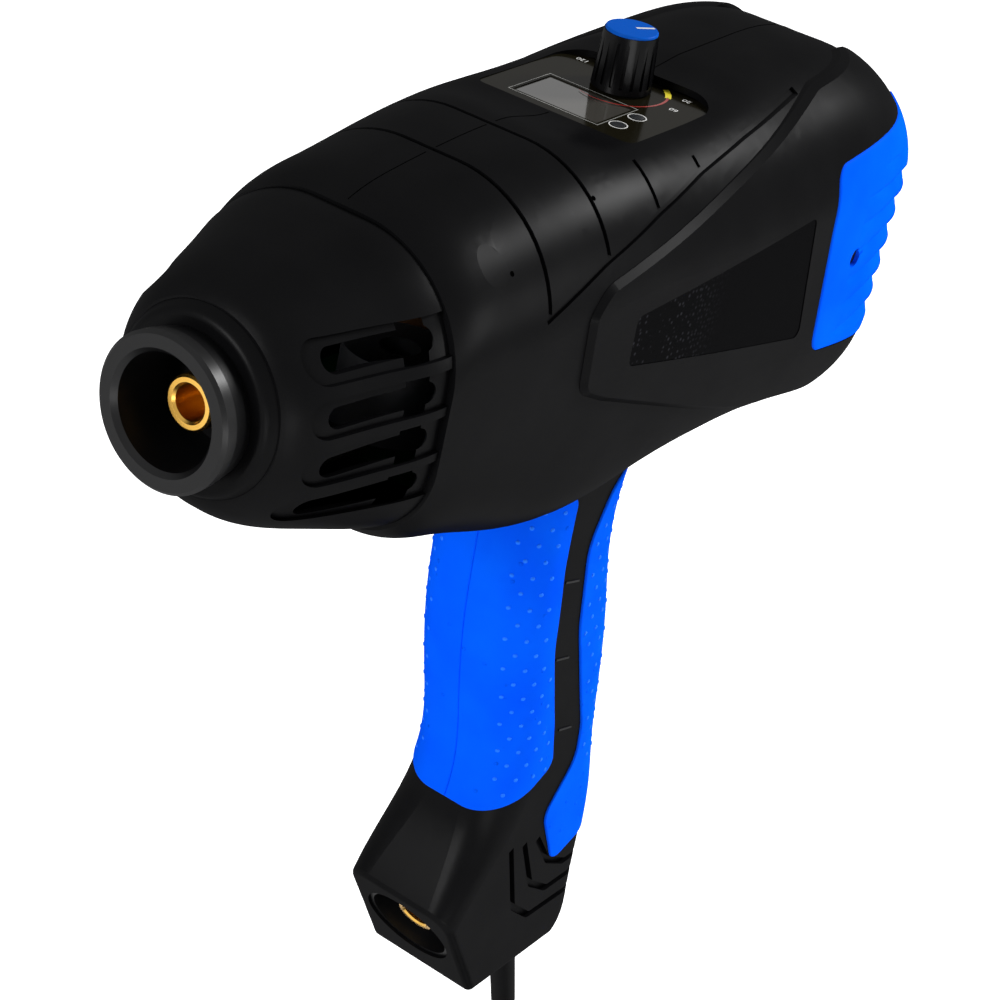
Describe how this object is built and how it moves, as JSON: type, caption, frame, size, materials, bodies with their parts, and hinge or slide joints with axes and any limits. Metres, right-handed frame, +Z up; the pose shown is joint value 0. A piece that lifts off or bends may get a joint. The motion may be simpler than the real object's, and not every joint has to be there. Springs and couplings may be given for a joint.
{
  "type": "handheld arc welding gun",
  "caption": "Pistol-shaped handheld inverter arc welder with a recessed nose socket, a socket in the grip's base, a current knob and meter on top, and a coiled mains cord.",
  "frame": {"origin": "middle of the hand grip, on the plane of symmetry", "axes": "+Z up along the grip, -Y the way the nose points, +X the tool's left"},
  "size_m": [0.1835, 0.2854, 0.4545],
  "materials": {
    "housing_black": "satin black ABS",
    "cowl_black": "fine-grained black nylon",
    "insulator_black": "satin black thermoset",
    "grip_blue": "bright blue TPE",
    "plate_black": "gloss black film",
    "screw_steel": "blackened steel",
    "socket_brass": "turned brass",
    "tinned_copper": "tinned copper",
    "window_smoke": "smoked acrylic",
    "lens_clear": "diffusing lens",
    "module_black": "moulded LED module",
    "board_green": "solder mask",
    "nut_nickel": "nickel plated",
    "knob_black": "moulded knob",
    "knob_blue": "blue cap",
    "fan_black": "moulded PBT",
    "sink_aluminium": "extruded aluminium",
    "epoxy_black": "epoxy package",
    "ferrite": "sintered ferrite",
    "winding_copper": "enamelled copper under tape",
    "capacitor_blue": "sleeved can",
    "wire_red": "PVC insulation",
    "ribbon_grey": "flat cable",
    "cord_rubber": "black rubber",
    "tie_black": "hook-and-loop strap",
    "pin_nickel": "nickel-plated brass"
  },
  "bodies": {
    "housing": {"left_housing": "housing_black", "right_housing": "housing_black", "housing_screws": "screw_steel", "left_bumper": "grip_blue", "right_bumper": "grip_blue", "left_front_grip": "grip_blue", "right_front_grip": "grip_blue", "left_rear_grip": "grip_blue", "right_rear_grip": "grip_blue", "left_side_plate": "plate_black", "right_side_plate": "plate_black", "bumper_screws": "screw_steel", "nose_cowl": "cowl_black", "front_socket": "socket_brass", "base_socket": "socket_brass", "front_insulator": "insulator_black", "base_insulator": "insulator_black", "cable_lugs": "tinned_copper", "socket_nuts": "socket_brass", "control_panel": "plate_black", "display_window": "window_smoke", "indicator_lenses": "lens_clear", "display_module": "module_black", "control_board": "board_green", "potentiometer": "module_black", "potentiometer_nut": "nut_nickel", "rear_grille": "fan_black", "fan_frame": "fan_black", "power_board": "board_green", "heat_sinks": "sink_aluminium", "power_transistors": "epoxy_black", "transformer_core": "ferrite", "transformer_winding": "winding_copper", "output_choke": "ferrite", "capacitors": "capacitor_blue", "board_screws": "screw_steel", "output_busbar": "tinned_copper", "base_lead": "wire_red", "mains_leads": "wire_red", "control_ribbon": "ribbon_grey", "cord_clamp": "epoxy_black", "clamp_screws": "screw_steel", "cord_sleeve": "cord_rubber", "mains_cord": "cord_rubber", "cord_coil": "cord_rubber", "cord_tail": "cord_rubber", "coil_tie": "tie_black", "plug_body": "cord_rubber", "plug_pins": "pin_nickel"},
    "knob": {"pot_shaft": "nut_nickel", "knob_skirt": "knob_black", "knob_cap": "knob_blue"},
    "fan": {"fan_rotor": "fan_black"}
  },
  "joints": [
    {"name": "knob_turn", "type": "hinge", "parent": "housing", "child": "knob", "pos_m": [0, -0.01222, 0.17619], "axis": [0, 0.0558, -0.9984], "range_deg": [0, 300]},
    {"name": "fan_spin", "type": "hinge", "parent": "housing", "child": "fan", "pos_m": [0, 0.086, 0.128], "axis": [0, 1, 0], "continuous": true}
  ]
}
